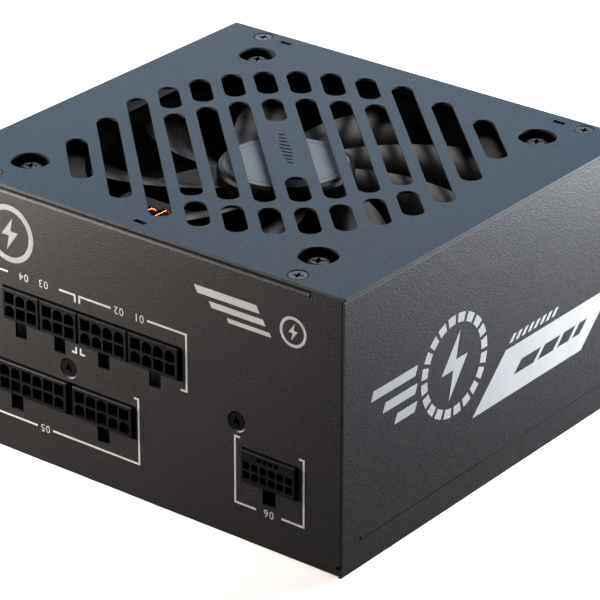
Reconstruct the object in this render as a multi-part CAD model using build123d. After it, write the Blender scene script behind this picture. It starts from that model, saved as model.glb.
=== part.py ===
from build123d import *
from math import cos, pi, radians, sin, sqrt
import os

# Modular computer power supply, ATX size, fan side up.
# Millimetres. Origin at the centre of the base, +Z up through the fan, -Y is the
# face with the modular sockets, +Y is the mains face.

# ---- driving dimensions -----------------------------------------------------
WIDTH = 150.0           # X
DEPTH = 140.0           # Y
HEIGHT = 86.0           # Z
SHEET = 0.8             # steel thickness
HX = WIDTH / 2
HY = DEPTH / 2

LID_TOP = HEIGHT
LID_Z = LID_TOP - SHEET         # underside of the slotted lid
COVER_Z = LID_Z - SHEET         # underside of the cover's top sheet
TRAY_Z = COVER_Z                # top of the base tray's fixing flanges
BEND_R = 1.2                    # outside bend radius
STRIP_H = 9.0                   # height of the base tray's side strips
SEAM_GAP = 0.45                 # open seam between side strip and cover
FACE_X = 73.9                   # half width of the two end faces
FLANGE_X = 63.0                 # half length of the fixing flanges
FLANGE_L = 9.0

SLOT_W = 6.6                    # lid slots, run at 45 degrees
SLOT_PITCH = 10.05
RIB = 3.9                       # ring of bridges between inner and outer slots
SLOT_TIPS = [60.2, 59.3, 56.4, 51.3, 43.5, 29.5, 14.7]
SLOT_INNER = [38.2, 37.2, 34.3, 30.3]
BADGE_HALF = 20.6               # plain bar kept in the middle row

FAN_SIZE = 120.0
FAN_H = 25.0
FAN_TOP = 82.0
FAN_BOTTOM = FAN_TOP - FAN_H
FAN_HOLE = 52.5                 # half of the 105 mm screw spacing
BORE_R = 58.6
TIP_R = 57.4
HUB_R = 20.3
HUB_TOP = 81.6
HUB_BOTTOM = 61.8
BLADES = 9
BLADE_TURN = 28.0               # where the first blade rests, degrees
WIRE_BEND = 1.6                 # centre-line bend radius of the insulated leads
OPENING_R = 64.5                # round opening of the cover above the fan

LID_SCREWS = [(-55.6, -65.5), (55.6, -65.5), (-60.5, 65.6), (60.5, 65.6)]
TAB_SLOTS = [(0.0, -65.6), (-51.5, 65.6), (51.5, 65.6)]
FACE_SCREWS = [(-58.5, 37.3), (-24.4, 34.4), (37.7, 37.3)]      # X, Z
PSU_HOLES = [(-69.0, 70.0), (-69.0, 6.0), (45.0, 6.0), (69.0, 80.0)]    # X, Z, rear face

BOARD_Z = 6.8                   # underside of the main board
BOARD_T = 1.6
BOARD_TOP = BOARD_Z + BOARD_T
STANDOFFS = [(-65.0, -49.0), (65.0, -49.0), (-67.0, 8.0), (67.5, 56.0), (20.0, 56.0), (22.0, -49.0)]

MOD_Y0 = -60.0                  # modular board, front and back surface
MOD_Y1 = MOD_Y0 + BOARD_T
SOCKET_FRONT = -71.25           # sockets stand a little proud of the sheet
CELL = 4.2                      # socket cell pitch
CELL_W = 3.6                    # opening of one cell
UPPER_Z = 48.8                  # centre height of the upper row of sockets
LOWER_Z = 24.8
GPU_X = 49.4                    # centre of the 12 + 4 way socket

INLET_X = -41.0
INLET_Z = 22.0
SWITCH_X = -2.0
SWITCH_Z = 22.0
ROCK_ANGLE = 8.0                # rocker tilt either side of level
INLET_PINS = [(INLET_X - 7.0, INLET_Z - 1.6), (INLET_X + 7.0, INLET_Z - 1.6), (INLET_X, INLET_Z + 2.4)]

# plain two-row sockets: name, left edge, columns, centre height
SOCKETS = [
    ("cpu_socket_right", -0.8, 4, UPPER_Z),
    ("cpu_socket_left", -19.5, 4, UPPER_Z),
    ("drive_socket_right", -34.1, 3, UPPER_Z),
    ("drive_socket_left", -48.5, 3, UPPER_Z),
    ("main_socket_10_way", -22.4, 5, LOWER_Z),
    ("main_socket_18_way", -63.9, 9, LOWER_Z),
]

# cells with a keyed (arched) top, counted from the left, upper then lower row
ARCHED = {
    "cpu_socket_right": ((1, 2, 3), (0, 1)),
    "cpu_socket_left": ((1, 2, 3), (0, 1)),
    "drive_socket_right": ((1, 2), (0,)),
    "drive_socket_left": ((1, 2), (0,)),
    "main_socket_10_way": ((1, 2), (0, 3, 4)),
    "main_socket_18_way": ((0, 3, 4, 6), (1, 2, 5, 8)),
}

# centre of each latch ledge
LATCH_X = {
    "cpu_socket_right": 8.1,
    "cpu_socket_left": -10.9,
    "drive_socket_right": -27.6,
    "drive_socket_left": -42.5,
    "main_socket_10_way": -11.7,
    "main_socket_18_way": -45.0,
}


# ---- helpers -----------------------------------------------------------------
def block(x0, x1, y0, y1, z0, z1):
    """Rectangular block between two opposite corners."""
    return Pos((x0 + x1) / 2, (y0 + y1) / 2, (z0 + z1) / 2) * Box(x1 - x0, y1 - y0, z1 - z0)


def rod(x, y, z0, z1, r):
    """Round bar along Z."""
    return Pos(x, y, (z0 + z1) / 2) * Cylinder(r, z1 - z0)


def rod_y(x, z, y0, y1, r):
    """Round bar along Y."""
    return Pos(x, (y0 + y1) / 2, z) * Rot(90, 0, 0) * Cylinder(r, y1 - y0)


def rod_x(y, z, x0, x1, r):
    """Round bar along X."""
    return Pos((x0 + x1) / 2, y, z) * Rot(0, 90, 0) * Cylinder(r, x1 - x0)


def extrude_y(sketch, y0, y1):
    """Extrude an X-Z outline from y0 to y1."""
    plane = Plane((0, y1, 0), x_dir=(1, 0, 0), z_dir=(0, -1, 0))
    return extrude(plane * sketch, amount=y1 - y0)


def extrude_x(sketch, x0, x1):
    """Extrude a Y-Z outline from x0 to x1."""
    plane = Plane((x0, 0, 0), x_dir=(0, 1, 0), z_dir=(1, 0, 0))
    return extrude(plane * sketch, amount=x1 - x0)


def extrude_z(sketch, z0, z1):
    """Extrude an X-Y outline from z0 to z1."""
    return extrude(Plane((0, 0, z0)) * sketch, amount=z1 - z0)


def turned(points, x=0.0, y=0.0):
    """Solid of revolution about a vertical line through x, y; points are (radius, z)."""
    outline = Plane.XZ * make_face(Polyline(*points, close=True))
    return Pos(x, y, 0) * revolve(outline, Axis.Z)


def slot_at(u0, u1, v, width):
    """Round-ended slot on the 45 degree rows: u runs to +X -Y, v to +X +Y."""
    mid = (u0 + u1) / 2
    x = (mid + v) / sqrt(2)
    y = (v - mid) / sqrt(2)
    return Pos(x, y) * Rot(0, 0, -45) * SlotOverall(abs(u1 - u0), width)


def cross(size, depth, top):
    """Cross recess of a Phillips head, pointing down from the given height."""
    wide = size * 0.24
    bar = block(-size / 2, size / 2, -wide / 2, wide / 2, top - depth, top + 1)
    cone = Pos(0, 0, top - depth / 2) * Cone(size * 0.1, size * 0.27, depth)
    return bar + Rot(0, 0, 90) * bar + cone


def countersunk_screw(x, y):
    """Lid screw: flat head just below the lid's face, thread down into the flange."""
    top = LID_TOP - 0.15
    body = turned([(0, top), (2.7, top), (2.7, top - 0.15), (1.3, top - 1.4), (1.3, top - 5.1),
                   (0.9, top - 5.7), (0, top - 5.7)])
    return Pos(x, y, 0) * (body - Rot(0, 0, 18) * cross(3.1, 1.0, top))


def pan_screw(head_r, head_h, shank_r, length, cross_size):
    """Pan head screw, head resting on Z = 0, thread pointing to -Z."""
    head = turned([(0, 0), (head_r, 0), (head_r, head_h * 0.45), (head_r * 0.86, head_h * 0.82),
                   (head_r * 0.6, head_h), (0, head_h)])
    shank = turned([(0, 0.3), (shank_r, 0.3), (shank_r, -length + 0.6), (shank_r * 0.6, -length),
                    (0, -length)])
    return head + shank - cross(cross_size, head_h * 0.6, head_h)


def wire(points, r):
    """Round wire along straight runs joined by tight bends."""
    path = FilletPolyline(*points, radius=WIRE_BEND)
    return sweep(Plane(path @ 0, z_dir=path % 0) * Circle(r), path)


def arc_blade(r, angle, pitch, chord, camber, thick, z_mid):
    """One curved section of a fan blade at radius r."""
    plane = Plane((r * cos(angle), r * sin(angle), z_mid), x_dir=(-sin(angle), cos(angle), 0),
                  z_dir=(cos(angle), sin(angle), 0))
    half = chord / 2
    top = Spline((-half, 0), (0, camber + thick / 2), (half, 0))
    bottom = Spline((-half, 0), (0, camber - thick / 2), (half, 0))
    return plane * Rot(0, 0, pitch) * make_face([top, bottom])


# ---- steel case --------------------------------------------------------------
def socket_openings():
    """Cut-outs of the modular face: three socket slots and the latch windows."""
    def rect(x0, x1, z0, z1):
        return Pos((x0 + x1) / 2, (z0 + z1) / 2) * Rectangle(x1 - x0, z1 - z0)

    cuts = [rect(-49.2, 18.1, 43.5, 54.1), rect(-64.4, 0.5, 19.4, 30.1), rect(39.4, 59.4, 19.4, 30.1)]
    for mid in (-42.5, -27.6, -10.9, 8.1):
        cuts.append(rect(mid - 2.15, mid + 2.15, 38.4, 43.6))
    for mid in (-45.0, -11.7, 49.1):
        cuts.append(rect(mid - 2.3, mid + 2.3, 14.3, 19.5))
    return cuts


def face_sink(x, z):
    """Countersink through the socket face into the spacer behind it."""
    cone = turned([(0, 0.2), (3.25, 0.2), (3.25, 0), (2.32, -SHEET), (1.45, -1.66), (0, -1.66)])
    return Pos(x, -HY, z) * Rot(90, 0, 0) * cone


def hex_grille():
    """Honeycomb air outlet of the mains face, clear of inlet, switch and fixing holes."""
    flats = 5.4
    pitch = 6.5
    cells = []
    for row in range(13):
        z = 5.2 + row * pitch * sin(radians(60))
        for col in range(-11, 12):
            x = col * pitch + (pitch / 2 if row % 2 else 0)
            if abs(x) > 69 or z > 80:
                continue
            if z < 38.5 and x < 14.5:
                continue
            if min(sqrt((x - a) ** 2 + (z - b) ** 2) for a, b in PSU_HOLES) < 8.4:
                continue
            cells.append(Pos(x, z) * RegularPolygon(flats / 2, 6, major_radius=False, rotation=30))
    return cells


def base_tray():
    """Floor, modular face and mains face bent from one sheet, with low side strips."""
    mid = TRAY_Z / 2
    ring = Pos(0, mid) * (RectangleRounded(DEPTH, TRAY_Z, BEND_R)
                          - RectangleRounded(DEPTH - 2 * SHEET, TRAY_Z - 2 * SHEET, 0.4))
    ring -= Pos(0, TRAY_Z) * Rectangle(DEPTH - 2 * FLANGE_L, 4)
    tray = extrude_x(ring, -FACE_X, FACE_X)

    strip = block(HX - 1.5, HX, -HY, HY, 0, STRIP_H)
    strip -= block(HX - 2, HX - SHEET, -HY - 1, HY + 1, SHEET, STRIP_H + 1)
    corner = strip.edges().filter_by(Axis.Y).sort_by(lambda e: e.center().X - e.center().Z)[-1]
    strip = fillet(corner, BEND_R)
    tray += strip
    tray += mirror(strip, Plane.YZ)

    for sx in (-1, 1):
        for sy in (-1, 1):
            outer = sy * HY
            inner = sy * (HY - SHEET)
            y0, y1 = min(outer, inner), max(outer, inner)
            x0, x1 = sorted((sx * FLANGE_X, sx * (FACE_X + 1)))
            flange = sorted((sy * (HY - FLANGE_L - 1), sy * (HY + 1)))
            tray -= block(x0, x1, flange[0], flange[1], TRAY_Z - 1.5, TRAY_Z + 1)
            x0, x1 = sorted((sx * (FLANGE_X + 0.5), sx * FACE_X))
            tray += block(x0, x1, y0, y1, TRAY_Z - 3, LID_Z - 0.06)
            x0, x1 = sorted((sx * (FACE_X - 0.2), sx * (HX - 0.4)))
            tray += block(x0, x1, y0, y1, 1.0, 2.6)
            x0, x1 = sorted((sx * 72.5, sx * 74.3))
            tray -= block(x0, x1, min(outer, inner) - 0.1, max(outer, inner) + 0.1, 2.5, 3.6)

    tray -= extrude_y(Sketch() + socket_openings(), -HY - 1, -HY + 2)
    tray -= [face_sink(x, z) for x, z in FACE_SCREWS]
    tray -= extrude_y(Sketch() + hex_grille(), HY - 2, HY + 1)
    tray -= block(INLET_X - 14.0, INLET_X + 14.0, HY - 2, HY + 1, INLET_Z - 10.2, INLET_Z + 10.2)
    tray -= block(SWITCH_X - 6.6, SWITCH_X + 6.6, HY - 2, HY + 1, SWITCH_Z - 9.7, SWITCH_Z + 9.7)
    for sx in (-20.0, 20.0):
        tray -= rod_y(INLET_X + sx, INLET_Z, HY - 2, HY + 1, 1.5)
    for x, z in PSU_HOLES:
        tray += rod_y(x, z, HY - 3.2, HY - 0.2, 2.6)
        tray -= rod_y(x, z, HY - 4, HY + 1, 1.4)
    for x, y in LID_SCREWS:
        tray -= rod(x, y, TRAY_Z - 2, TRAY_Z + 1, 1.3)
    for x, y in STANDOFFS:
        tray -= rod(x, y, -1, 2, 1.5)
    return tray


def dimple(x, y):
    """Pressed dish that carries a fan screw below the lid."""
    floor = FAN_TOP
    return turned([(8.4, LID_Z), (7.5, LID_Z), (6.5, floor + SHEET), (2.0, floor + SHEET), (2.0, floor),
                   (6.9, floor), (7.9, COVER_Z), (8.4, COVER_Z)], x, y)


def cover():
    """Both side walls and the top sheet that carries the fan, bent from one sheet."""
    low = STRIP_H + 0.05
    mid = LID_Z / 2
    ring = Pos(0, mid) * (RectangleRounded(WIDTH, LID_Z, BEND_R)
                          - RectangleRounded(WIDTH - 2 * SHEET, LID_Z - 2 * SHEET, 0.4))
    ring -= Pos(0, low / 2 - 1) * Rectangle(WIDTH + 2, low + 2)
    shell = extrude_y(ring, -HY, HY)
    for sy in (-1, 1):
        y0, y1 = sorted((sy * (HY - 0.95), sy * (HY + 1)))
        shell -= block(-FACE_X - 0.25, FACE_X + 0.25, y0, y1, COVER_Z - 0.6, LID_Z + 1)
    for sx in (-1, 1):
        x0, x1 = sorted((sx * (HX - 1), sx * (HX + 1)))
        shell -= block(x0, x1, -62.5, HY + 1, 0, STRIP_H + SEAM_GAP)
        shell -= block(x0, x1, -62.5, -61.7, 0, STRIP_H + 1.3)
    shell -= rod(0, 0, COVER_Z - 1, LID_Z + 1, OPENING_R)
    for sx in (-FAN_HOLE, FAN_HOLE):
        for sy in (-FAN_HOLE, FAN_HOLE):
            shell -= rod(sx, sy, COVER_Z - 1, LID_Z + 1, 7.95)
            shell += dimple(sx, sy)
    for x, y in LID_SCREWS:
        shell -= turned([(0, LID_Z), (2.25, LID_Z), (1.36, COVER_Z + 0.03), (1.36, COVER_Z - 1),
                         (0, COVER_Z - 1)], x, y)
    for x, y in TAB_SLOTS:
        shell -= block(x - 2.1, x + 2.1, y - 0.9, y + 0.9, COVER_Z - 1, LID_Z + 1)
    return shell


def lid_slots():
    """All air slots of the lid, in rows parallel to the diagonal."""
    cuts = []
    for k, tip in enumerate(SLOT_TIPS):
        rows = (k * SLOT_PITCH, -k * SLOT_PITCH) if k else (0.0,)
        for v in rows:
            if k >= len(SLOT_INNER):
                cuts.append(slot_at(-tip, tip, v, SLOT_W))
                continue
            inner = SLOT_INNER[k]
            for s in (-1, 1):
                cuts.append(slot_at(s * (inner + RIB), s * tip, v, SLOT_W))
            if k:
                cuts.append(slot_at(-inner, inner, v, SLOT_W))
            else:
                for s in (-1, 1):
                    cuts.append(slot_at(s * BADGE_HALF, s * inner, v, SLOT_W))
    return cuts


def fan_grille_lid():
    """Flat slotted plate over the fan, held by four countersunk screws."""
    outline = RectangleRounded(WIDTH, DEPTH, 0.6)
    outline -= lid_slots()
    holes = []
    for sx in (-52.6, 52.6):
        for sy in (-52.6, 52.6):
            holes.append(Pos(sx, sy) * Circle(5.85))
    for x, y in TAB_SLOTS:
        holes.append(Pos(x, y) * Rectangle(4.2, 1.8))
    outline -= holes
    lid = extrude_z(outline, LID_Z, LID_TOP)
    for x, y in LID_SCREWS:
        lid -= turned([(0, LID_TOP + 0.1), (3.2, LID_TOP + 0.1), (3.2, LID_TOP), (2.82, LID_TOP - 0.3),
                       (2.22, LID_Z - 0.02), (0, LID_Z - 0.02)], x, y)
    ticks = []
    for i in range(-4, 5):
        x = i * 2.6 / sqrt(2)
        ticks.append(Pos(x, -x) * Rot(0, 0, 15) * SlotOverall(2.2 + 0.45 * (4 - abs(i)), 0.75))
    lid -= extrude_z(Sketch() + ticks, LID_TOP - 0.3, LID_TOP + 1)
    return lid


def lid_screws():
    return [countersunk_screw(x, y) for x, y in LID_SCREWS]


def fan_screws():
    """Coarse self-tapping screws from the dimples into the fan frame."""
    screws = []
    for sx in (-FAN_HOLE, FAN_HOLE):
        for sy in (-FAN_HOLE, FAN_HOLE):
            screws.append(Pos(sx, sy, FAN_TOP + SHEET) * Rot(0, 0, 30) * pan_screw(3.6, 1.7, 1.95, 8.0, 3.6))
    return screws


# ---- fan ---------------------------------------------------------------------
def fan_frame():
    """Square frame with round bore, four struts, motor plate and bearing tube."""
    half = FAN_SIZE / 2
    outline = RectangleRounded(FAN_SIZE, FAN_SIZE, 4.0) - Circle(BORE_R)
    frame = extrude_z(outline, FAN_BOTTOM, FAN_TOP)
    hollow = RectangleRounded(FAN_SIZE + 20, FAN_SIZE + 20, 4.0) - Circle(61.5)
    hollow = hollow & Rectangle(FAN_SIZE + 2, FAN_SIZE + 2)
    waist = extrude_z(hollow, FAN_BOTTOM + 4.0, FAN_TOP - 4.0)
    frame -= waist
    for sx in (-FAN_HOLE, FAN_HOLE):
        for sy in (-FAN_HOLE, FAN_HOLE):
            frame -= rod(sx, sy, FAN_BOTTOM - 1, FAN_TOP + 1, 1.95)
    frame += rod(0, 0, FAN_BOTTOM, FAN_BOTTOM + 1.6, 18.4)
    for a in (90, 180, 270):
        strut = block(17.0, BORE_R + 0.4, -2.2, 2.2, FAN_BOTTOM, FAN_BOTTOM + 3.6)
        strut = chamfer(strut.edges().filter_by(Axis.X).group_by(Axis.Z)[-1], 1.2)
        frame += Rot(0, 0, a) * strut
    frame += block(17.0, BORE_R + 0.4, -2.6, 2.6, FAN_BOTTOM, FAN_BOTTOM + 2.4)
    frame -= block(16.0, half + 1, -1.6, 1.6, FAN_BOTTOM + 0.6, FAN_BOTTOM + 3.0)
    frame -= block(56.5, half + 1, -1.9, 1.9, FAN_BOTTOM - 1, FAN_BOTTOM + 3.0)
    frame += rod(0, 0, FAN_BOTTOM + 1.6, 73.0, 4.4)
    frame -= rod(0, 0, FAN_BOTTOM + 1.6, 74.0, 3.4)
    return frame


def fan_impeller():
    """Hub cup with nine swept, twisted blades."""
    hub = turned([(0, HUB_TOP), (HUB_R - 1.6, HUB_TOP), (HUB_R - 0.5, HUB_TOP - 0.5),
                  (HUB_R, HUB_TOP - 1.6), (HUB_R, HUB_BOTTOM), (18.65, HUB_BOTTOM),
                  (18.65, HUB_TOP - 1.6), (3.0, HUB_TOP - 1.6), (3.0, 75.0), (1.5, 75.0), (1.5, 79.4),
                  (0, 79.4)])
    sections = []
    for r, lag, pitch, chord, camber in ((17.5, 0, 43, 19.0, 2.2), (30.0, -8, 35, 23.0, 2.4),
                                         (44.0, -17, 28, 27.5, 2.4), (59.0, -27, 23, 32.0, 2.2)):
        sections.append(arc_blade(r, radians(lag), pitch, chord, camber, 1.7, 71.6))
    blade = loft(sections)
    trim = rod(0, 0, 60, 84, TIP_R) - rod(0, 0, 59, 85, HUB_R - 0.3)
    blade = blade & trim
    blades = [Rot(0, 0, BLADE_TURN + 360 * i / BLADES) * blade for i in range(BLADES)]
    return hub + blades


def fan_hub_label():
    return rod(0, 0, HUB_TOP, HUB_TOP + 0.15, 18.4)


def fan_shaft():
    body = rod(0, 0, 59.4, 79.4, 1.5)
    return chamfer(body.edges().group_by(Axis.Z)[0], 0.3)


def fan_yoke():
    """Steel ring pressed into the hub cup."""
    return turned([(17.65, 62.2), (18.65, 62.2), (18.65, 79.6), (14.0, 79.6), (14.0, 78.8), (17.65, 78.8)])


def fan_magnet():
    return turned([(15.7, 62.6), (17.65, 62.6), (17.65, 76.6), (15.7, 76.6)])


def fan_bearing():
    return turned([(1.55, 59.0), (3.4, 59.0), (3.4, 72.6), (3.1, 72.9), (1.55, 72.9)])


def fan_stator():
    """Four-pole iron stack on the bearing tube."""
    shape = Circle(6.6)
    shoes = Circle(14.9) - Circle(12.9)
    for a in (45, 135, 225, 315):
        shape += Rot(0, 0, a) * Pos(9.4, 0) * Rectangle(9.0, 3.4)
    for a in (0, 90):
        shoes -= Rot(0, 0, a) * Rectangle(40, 3.6)
    shape = shape + shoes - Circle(4.4)
    return extrude_z(shape, 64.0, 71.0)


def fan_coils():
    """Enamelled windings round the four stator arms."""
    coils = []
    for a in (45, 135, 225, 315):
        body = block(7.4, 12.2, -3.6, 3.6, 62.2, 72.8)
        body = fillet(body.edges().filter_by(Axis.X), 1.5)
        body -= block(7.0, 13.0, -1.7, 1.7, 64.0, 71.0)
        coils.append(Rot(0, 0, a) * body)
    return coils


def fan_circuit_board():
    board = extrude_z(Circle(16.6) - Circle(5.0), 58.6, 59.8)
    return board + block(-12.0, -8.0, -2.5, 2.5, 59.8, 60.9) + block(-2.0, 2.0, 9.0, 12.5, 59.8, 60.7)


def fan_lead():
    """Two insulated wires from the fan board along the open strut and down to the main board."""
    wires = []
    for s in (-0.78, 0.78):
        points = [(16.7, s, 59.3), (20.2, s, 59.3), (23.0, s, 58.4), (62.4, s, 58.4), (66.5, s, 52.0),
                  (66.5, s, 19.7)]
        wires.append(wire(points, 0.65))
    return wires


def fan_plug():
    body = block(63.6, 69.4, -3.3, 3.3, 12.2, 19.6)
    body += block(65.2, 67.8, 3.3, 4.1, 13.0, 18.0)
    return body - block(64.7, 68.3, -2.7, 2.7, 11, 16.2)


def fan_header():
    """Board header with two pins under the fan plug."""
    base = block(63.4, 69.6, -3.5, 3.5, BOARD_TOP, 12.0)
    pins = [block(66.2, 66.8, y - 0.3, y + 0.3, 10.0, 15.8) for y in (-1.25, 1.25)]
    return base + pins


# ---- boards ------------------------------------------------------------------
def main_circuit_board():
    outline = Pos(0, 3.5) * RectangleRounded(142, 117, 1.5)
    outline -= [Pos(x, y) * Circle(1.6) for x, y in STANDOFFS]
    return extrude_z(outline, BOARD_Z, BOARD_TOP)


def insulation_sheet():
    """Thin plastic film between the steel floor and the solder side."""
    outline = Pos(0, 1.5) * RectangleRounded(144, 128, 2.0)
    outline -= [Pos(x, y) * Circle(3.6) for x, y in STANDOFFS]
    return extrude_z(outline, SHEET, SHEET + 0.3)


def board_standoffs():
    pillars = []
    for x, y in STANDOFFS:
        body = Pos(x, y) * extrude_z(RegularPolygon(2.75, 6, major_radius=False), SHEET, BOARD_Z)
        body += rod(x, y, 0.1, SHEET, 1.5)
        pillars.append(body - rod(x, y, 2.0, BOARD_Z + 1, 1.25))
    return pillars


def board_screws():
    return [Pos(x, y, BOARD_TOP) * pan_screw(2.8, 1.7, 1.25, 5.0, 2.8) for x, y in STANDOFFS]


def pin_positions():
    """X, Z of every contact of the seven sockets, with its half thickness."""
    pins = []
    for name, x0, count, mid in SOCKETS:
        for i in range(count):
            x = x0 + 0.75 + CELL * (i + 0.5)
            for s in (-1, 1):
                pins.append((x, mid + s * CELL / 2, 0.5))
    for i in range(6):
        for z in (22.4, 25.4):
            pins.append((GPU_X + 3.0 * (i - 2.5), z, 0.4))
    for i in range(4):
        pins.append((GPU_X + 2.0 * (i - 1.5), 28.35, 0.25))
    return pins


def modular_circuit_board():
    """Upright board behind the socket face."""
    outline = Pos(-3.0, 33.2) * RectangleRounded(132, 46.4, 1.0)
    outline -= [Pos(x, z) * Circle(h * 1.5) for x, z, h in pin_positions()]
    outline -= [Pos(x, z) * Circle(1.6) for x, z in FACE_SCREWS]
    return extrude_y(outline, MOD_Y0, MOD_Y1)


def modular_board_spacers():
    """Threaded hexagon spacers between the socket face and the upright board."""
    spacers = []
    for x, z in FACE_SCREWS:
        body = Pos(x, z) * RegularPolygon(2.75, 6, major_radius=False)
        spacer = extrude_y(body - Pos(x, z) * Circle(1.45), -HY + SHEET, MOD_Y0)
        spacers.append(spacer - face_sink(x, z))
    return spacers


def face_screws():
    """Flat-head screws sunk just below the socket face."""
    body = turned([(0, 0), (2.7, 0), (2.7, -0.12), (1.45, -1.37), (1.45, -6.1), (1.0, -6.7), (0, -6.7)])
    body -= cross(3.0, 0.95, 0)
    return [Pos(x, -HY + 0.25, z) * Rot(90, 0, 0) * Rot(0, 0, 25) * body for x, z in FACE_SCREWS]


# ---- sockets -----------------------------------------------------------------
def cell_shape(arched):
    if not arched:
        return Rectangle(CELL_W, CELL_W)
    low = Pos(0, -CELL_W / 4) * Rectangle(CELL_W, CELL_W / 2)
    return low + RectangleRounded(CELL_W, CELL_W, CELL_W / 2 - 0.05)


def socket(name, x0, count, mid):
    """Two-row power socket: keyed cells in front, back wall with pin holes, latch ledge below."""
    wide = CELL * count + 1.5
    tall = CELL * 2 + 1.5
    outline = Pos(x0 + wide / 2, mid) * Rectangle(wide, tall)
    body = extrude_y(outline, SOCKET_FRONT, MOD_Y0)
    rim = body.faces().sort_by(Axis.Y)[0].edges()
    body = chamfer(rim, 0.25)
    cells = []
    holes = []
    for i in range(count):
        x = x0 + 0.75 + CELL * (i + 0.5)
        for row, s in enumerate((1, -1)):
            cells.append(Pos(x, mid + s * CELL / 2) * cell_shape(i in ARCHED[name][row]))
            holes.append(Pos(x, mid + s * CELL / 2) * Rectangle(1.0, 1.0))
    body -= extrude_y(Sketch() + cells, SOCKET_FRONT - 1, MOD_Y0 - 2.0)
    body -= extrude_y(Sketch() + holes, MOD_Y0 - 3.0, MOD_Y0 + 1)
    latch = LATCH_X[name]
    low = mid - tall / 2
    ledge = block(latch - 1.7, latch + 1.7, -66.5, -63.5, low - 1.3, low + 0.2)
    return body + chamfer(ledge.edges().filter_by(Axis.X).sort_by(lambda e: e.center().Y + e.center().Z)[0], 0.9)


def graphics_socket():
    """Twelve power cells in two rows with four small sense slots above them."""
    x0, x1 = GPU_X - 9.6, GPU_X + 9.6
    z0, z1 = 19.75, 29.85
    body = block(x0, x1, SOCKET_FRONT, MOD_Y0, z0, z1)
    body = chamfer(body.faces().sort_by(Axis.Y)[0].edges(), 0.25)
    cells = []
    holes = []
    for i in range(6):
        for z in (22.4, 25.4):
            x = GPU_X + 3.0 * (i - 2.5)
            cells.append(Pos(x, z) * RectangleRounded(2.35, 2.35, 0.6))
            holes.append(Pos(x, z) * Rectangle(0.8, 0.8))
    for i in range(4):
        x = GPU_X + 2.0 * (i - 1.5)
        cells.append(Pos(x, 28.35) * Rectangle(1.5, 1.3))
        holes.append(Pos(x, 28.35) * Rectangle(0.5, 0.5))
    body -= extrude_y(Sketch() + cells, SOCKET_FRONT - 1, MOD_Y0 - 2.0)
    body -= extrude_y(Sketch() + holes, MOD_Y0 - 3.0, MOD_Y0 + 1)
    return body + block(47.4, 50.8, -66.5, -63.5, z0 - 1.2, z0 + 0.2)


def socket_pins():
    """Square contacts standing through the upright board into the cells."""
    return [block(x - h, x + h, -67.6, MOD_Y1 + 1.0, z - h, z + h) for x, z, h in pin_positions()]


def can_along_y(x, z, r, y0, y1):
    """Capacitor can lying along Y, crimp groove near its base at y1."""
    body = rod_y(x, z, y0, y1, r)
    body = fillet(body.edges().sort_by(Axis.Y)[0], 0.5)
    groove = rod_y(x, z, y1 - 1.8, y1 - 1.2, r + 1) - rod_y(x, z, y1 - 2, y1 - 1, r - 0.3)
    return body - groove


def modular_capacitors():
    """Small cans on the front of the upright board, partly seen through the latch windows."""
    spots = [(-41.0, 37.9), (-30.0, 38.4), (-12.6, 37.9), (9.6, 37.6), (-12.8, 14.9), (26.0, 34.0),
             (33.0, 24.0)]
    return [can_along_y(x, z, 3.15, -67.2, MOD_Y0) for x, z in spots]


def bus_bars():
    """Bent copper straps from the main board to the back of the upright board."""
    bars = []
    for x in (-52.0, -34.0, -16.0, 2.0, 36.0, 52.0):
        path = Polyline((MOD_Y1, 14.0), (-50.0, 14.0), (-50.0, BOARD_TOP), (-51.0, BOARD_TOP),
                        (-51.0, 13.0), (MOD_Y1, 13.0), close=True)
        bars.append(extrude_x(make_face(path), x - 3.5, x + 3.5))
    return bars


# ---- components on the main board ---------------------------------------------
def can(x, y, r, z1):
    """Upright capacitor can with crimp groove and cross-scored vent."""
    z0 = BOARD_TOP
    body = turned([(0, z0), (r - 0.3, z0), (r, z0 + 0.4), (r, z0 + 2.0), (r - 0.5, z0 + 2.6), (r, z0 + 3.2),
                   (r, z1 - 0.8), (r - 0.8, z1), (r - 1.4, z1 - 0.25), (0, z1 - 0.25)], x, y)
    for a in (0, 90):
        bar = Rot(0, 0, a) * block(-r * 0.6, r * 0.6, -0.2, 0.2, z1 - 0.45, z1)
        body -= Pos(x, y, 0) * bar
    return body


def bulk_capacitor():
    return can(-50.0, -34.4, 15.0, 53.0)


def output_capacitors():
    """Six cans beside the secondary heatsink."""
    return [can(x, y, 5.0, 31.0) for x in (37.0, 49.0, 61.0) for y in (-39.0, -27.0)]


def toroid_core(x, y, z, r_in, r_out, half, round_r=2.0):
    """Ring core standing upright, its axis along Y."""
    section = Pos((r_in + r_out) / 2, 0) * RectangleRounded(r_out - r_in, half * 2, round_r)
    ring = revolve(Plane.XZ * section, Axis.Z)
    return Pos(x, y, z) * Rot(90, 0, 0) * ring


def toroid_winding(x, y, z, r_in, r_out, half, wire_r, turns, start, stop, round_r=2.0):
    """Turns of enamelled wire round a ring core that stands with its axis along Y."""
    gap = wire_r + 0.08
    section = RectangleRounded(r_out - r_in + 2 * gap, 2 * half + 2 * gap, round_r + gap)
    path = section.wires()[0]
    turn = sweep(Plane(path @ 0, z_dir=path % 0) * Circle(wire_r), path)
    turn = Plane.XZ * Pos((r_in + r_out) / 2, 0) * turn
    placed = []
    for i in range(turns):
        angle = start + (stop - start) * i / (turns - 1)
        placed.append(Pos(x, y, z) * Rot(90, 0, 0) * Rot(0, 0, angle) * turn)
    return placed


# x, y, z of the centre, inner and outer radius, half thickness
PFC = (-49.6, -3.0, 30.5, 11.0, 19.8, 7.0)
FILTER = (-2.0, 29.0, 21.6, 5.5, 10.8, 4.2)


def pfc_choke_core():
    return toroid_core(*PFC)


def pfc_choke_winding():
    return toroid_winding(*PFC, 0.85, 21, -65, 245)


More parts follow.
